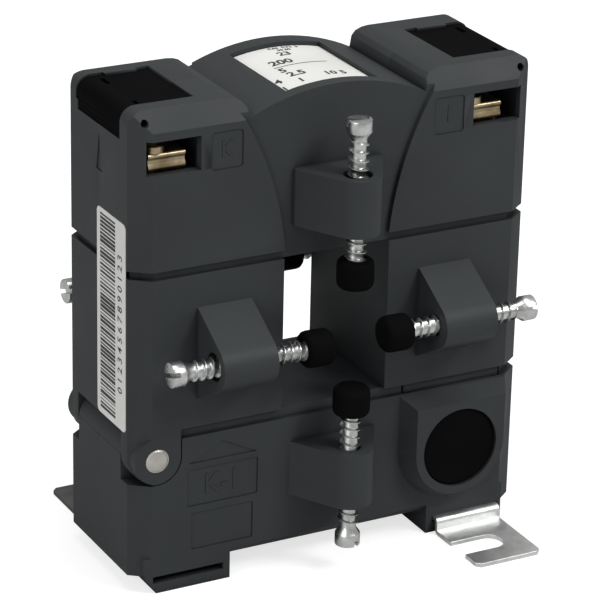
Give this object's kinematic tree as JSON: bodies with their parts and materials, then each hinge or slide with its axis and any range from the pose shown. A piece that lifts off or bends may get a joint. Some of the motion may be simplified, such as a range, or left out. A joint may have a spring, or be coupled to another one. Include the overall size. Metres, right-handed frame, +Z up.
{
  "type": "split-core current transformer",
  "caption": "Split-core current transformer with a hinged head on a yoke frame, clamp screws round a square conductor window, covered terminals, release buttons and foot brackets.",
  "frame": {"origin": "middle of the footprint on the mounting plane under the feet", "axes": "+Z up, front face (terminal wire windows) towards -Y, +X to the right seen from the front"},
  "size_m": [0.0931, 0.073, 0.1071],
  "materials": {
    "housing": "satin",
    "black_plastic": "matte",
    "pin_steel": "satin",
    "dark_steel": "matte",
    "zinc_steel": "bright zinc",
    "core_steel": "matte",
    "copper": "enamelled",
    "brass": "satin",
    "label": "matte"
  },
  "bodies": {
    "yoke": {"lower_front_shell": "housing", "lower_rear_shell": "housing", "lower_core": "core_steel", "core_spring": "zinc_steel", "hinge_pin": "pin_steel", "front_foot_bracket": "zinc_steel", "rear_foot_bracket": "dark_steel"},
    "head": {"upper_front_shell": "housing", "upper_rear_shell": "housing", "upper_core": "core_steel", "bobbin": "black_plastic", "secondary_winding": "copper", "left_terminal_base": "brass", "right_terminal_base": "brass", "left_lead": "copper", "right_lead": "copper", "rating_label": "label", "side_label": "label"},
    "left_cover": {"left_terminal_cover": "black_plastic"},
    "right_cover": {"right_terminal_cover": "black_plastic"},
    "front_button": {"front_release_button": "black_plastic"},
    "rear_button": {"rear_release_button": "black_plastic"},
    "front_top_cap_slider": {"front_top_cap": "black_plastic"},
    "front_top_screw_rotor": {"front_top_screw": "zinc_steel"},
    "front_left_cap_slider": {"front_left_cap": "black_plastic"},
    "front_left_screw_rotor": {"front_left_screw": "zinc_steel"},
    "front_right_cap_slider": {"front_right_cap": "black_plastic"},
    "front_right_screw_rotor": {"front_right_screw": "zinc_steel"},
    "front_bottom_cap_slider": {"front_bottom_cap": "black_plastic"},
    "front_bottom_screw_rotor": {"front_bottom_screw": "zinc_steel"},
    "rear_top_cap_slider": {"rear_top_cap": "black_plastic"},
    "rear_top_screw_rotor": {"rear_top_screw": "zinc_steel"},
    "rear_left_cap_slider": {"rear_left_cap": "black_plastic"},
    "rear_left_screw_rotor": {"rear_left_screw": "zinc_steel"},
    "rear_right_cap_slider": {"rear_right_cap": "black_plastic"},
    "rear_right_screw_rotor": {"rear_right_screw": "zinc_steel"},
    "rear_bottom_cap_slider": {"rear_bottom_cap": "black_plastic"},
    "rear_bottom_screw_rotor": {"rear_bottom_screw": "zinc_steel"},
    "left_saddle": {"left_terminal_saddle": "brass"},
    "left_terminal_rotor": {"left_terminal_screw": "zinc_steel"},
    "right_saddle": {"right_terminal_saddle": "brass"},
    "right_terminal_rotor": {"right_terminal_screw": "zinc_steel"}
  },
  "joints": [
    {"name": "head_hinge", "type": "hinge", "parent": "yoke", "child": "head", "pos_m": [-0.0411, 0, 0.0307], "axis": [0, -1, 0], "range_deg": [0, 88]},
    {"name": "left_cover_hinge", "type": "hinge", "parent": "head", "child": "left_cover", "pos_m": [-0.0435, 0, 0.1043], "axis": [0, -1, 0], "range_deg": [0, 100]},
    {"name": "right_cover_hinge", "type": "hinge", "parent": "head", "child": "right_cover", "pos_m": [0.0435, 0, 0.1043], "axis": [0, 1, 0], "range_deg": [0, 100]},
    {"name": "front_button_slide", "type": "slide", "parent": "yoke", "child": "front_button", "axis": [0, 1, 0], "range_m": [0, 0.0022], "stiffness_N_per_m": 400, "springref_m": -0.0025},
    {"name": "rear_button_slide", "type": "slide", "parent": "yoke", "child": "rear_button", "axis": [0, -1, 0], "range_m": [0, 0.0022], "stiffness_N_per_m": 400, "springref_m": -0.0025},
    {"name": "front_top_feed", "type": "slide", "parent": "head", "child": "front_top_cap_slider", "axis": [0, 0, -1], "range_m": [-0.0054, 0.0054]},
    {"name": "front_top_turn", "type": "hinge", "parent": "front_top_cap_slider", "child": "front_top_screw_rotor", "pos_m": [0, -0.0248, 0.09], "axis": [0, 0, -1], "range_deg": [-1081, 1081]},
    {"name": "front_left_feed", "type": "slide", "parent": "head", "child": "front_left_cap_slider", "axis": [1, 0, 0], "range_m": [-0.0054, 0.0054]},
    {"name": "front_left_turn", "type": "hinge", "parent": "front_left_cap_slider", "child": "front_left_screw_rotor", "pos_m": [-0.03, -0.0248, 0.0534], "axis": [1, 0, 0], "range_deg": [-1081, 1081]},
    {"name": "front_right_feed", "type": "slide", "parent": "head", "child": "front_right_cap_slider", "axis": [-1, 0, 0], "range_m": [-0.0054, 0.0054]},
    {"name": "front_right_turn", "type": "hinge", "parent": "front_right_cap_slider", "child": "front_right_screw_rotor", "pos_m": [0.03, -0.0248, 0.0534], "axis": [-1, 0, 0], "range_deg": [-1081, 1081]},
    {"name": "front_bottom_feed", "type": "slide", "parent": "yoke", "child": "front_bottom_cap_slider", "axis": [0, 0, 1], "range_m": [-0.0054, 0.0054]},
    {"name": "front_bottom_turn", "type": "hinge", "parent": "front_bottom_cap_slider", "child": "front_bottom_screw_rotor", "pos_m": [0, -0.0248, 0.02], "axis": [0, 0, 1], "range_deg": [-1081, 1081]},
    {"name": "rear_top_feed", "type": "slide", "parent": "head", "child": "rear_top_cap_slider", "axis": [0, 0, -1], "range_m": [-0.0054, 0.0054]},
    {"name": "rear_top_turn", "type": "hinge", "parent": "rear_top_cap_slider", "child": "rear_top_screw_rotor", "pos_m": [0, 0.0248, 0.09], "axis": [0, 0, -1], "range_deg": [-1081, 1081]},
    {"name": "rear_left_feed", "type": "slide", "parent": "head", "child": "rear_left_cap_slider", "axis": [1, 0, 0], "range_m": [-0.0054, 0.0054]},
    {"name": "rear_left_turn", "type": "hinge", "parent": "rear_left_cap_slider", "child": "rear_left_screw_rotor", "pos_m": [-0.03, 0.0248, 0.0534], "axis": [1, 0, 0], "range_deg": [-1081, 1081]},
    {"name": "rear_right_feed", "type": "slide", "parent": "head", "child": "rear_right_cap_slider", "axis": [-1, 0, 0], "range_m": [-0.0054, 0.0054]},
    {"name": "rear_right_turn", "type": "hinge", "parent": "rear_right_cap_slider", "child": "rear_right_screw_rotor", "pos_m": [0.03, 0.0248, 0.0534], "axis": [-1, 0, 0], "range_deg": [-1081, 1081]},
    {"name": "rear_bottom_feed", "type": "slide", "parent": "yoke", "child": "rear_bottom_cap_slider", "axis": [0, 0, 1], "range_m": [-0.0054, 0.0054]},
    {"name": "rear_bottom_turn", "type": "hinge", "parent": "rear_bottom_cap_slider", "child": "rear_bottom_screw_rotor", "pos_m": [0, 0.0248, 0.02], "axis": [0, 0, 1], "range_deg": [-1081, 1081]},
    {"name": "left_saddle_feed", "type": "slide", "parent": "head", "child": "left_saddle", "axis": [0, 0, -1], "range_m": [0, 0.0004]},
    {"name": "left_terminal_turn", "type": "hinge", "parent": "left_saddle", "child": "left_terminal_rotor", "pos_m": [-0.0383, -0.0055, 0.0965], "axis": [0, 0, -1], "range_deg": [0, 206.5]},
    {"name": "right_saddle_feed", "type": "slide", "parent": "head", "child": "right_saddle", "axis": [0, 0, -1], "range_m": [0, 0.0004]},
    {"name": "right_terminal_turn", "type": "hinge", "parent": "right_saddle", "child": "right_terminal_rotor", "pos_m": [0.0353, -0.0055, 0.0965], "axis": [0, 0, -1], "range_deg": [0, 206.5]}
  ],
  "couplings": [
    {"joint": "front_top_turn", "follows": "front_top_feed", "rad_per_m": 3490.7},
    {"joint": "front_left_turn", "follows": "front_left_feed", "rad_per_m": 3490.7},
    {"joint": "front_right_turn", "follows": "front_right_feed", "rad_per_m": 3490.7},
    {"joint": "front_bottom_turn", "follows": "front_bottom_feed", "rad_per_m": 3490.7},
    {"joint": "rear_top_turn", "follows": "rear_top_feed", "rad_per_m": 3490.7},
    {"joint": "rear_left_turn", "follows": "rear_left_feed", "rad_per_m": 3490.7},
    {"joint": "rear_right_turn", "follows": "rear_right_feed", "rad_per_m": 3490.7},
    {"joint": "rear_bottom_turn", "follows": "rear_bottom_feed", "rad_per_m": 3490.7},
    {"joint": "left_terminal_turn", "follows": "left_saddle_feed", "rad_per_m": 8976},
    {"joint": "right_terminal_turn", "follows": "right_saddle_feed", "rad_per_m": 8976}
  ]
}
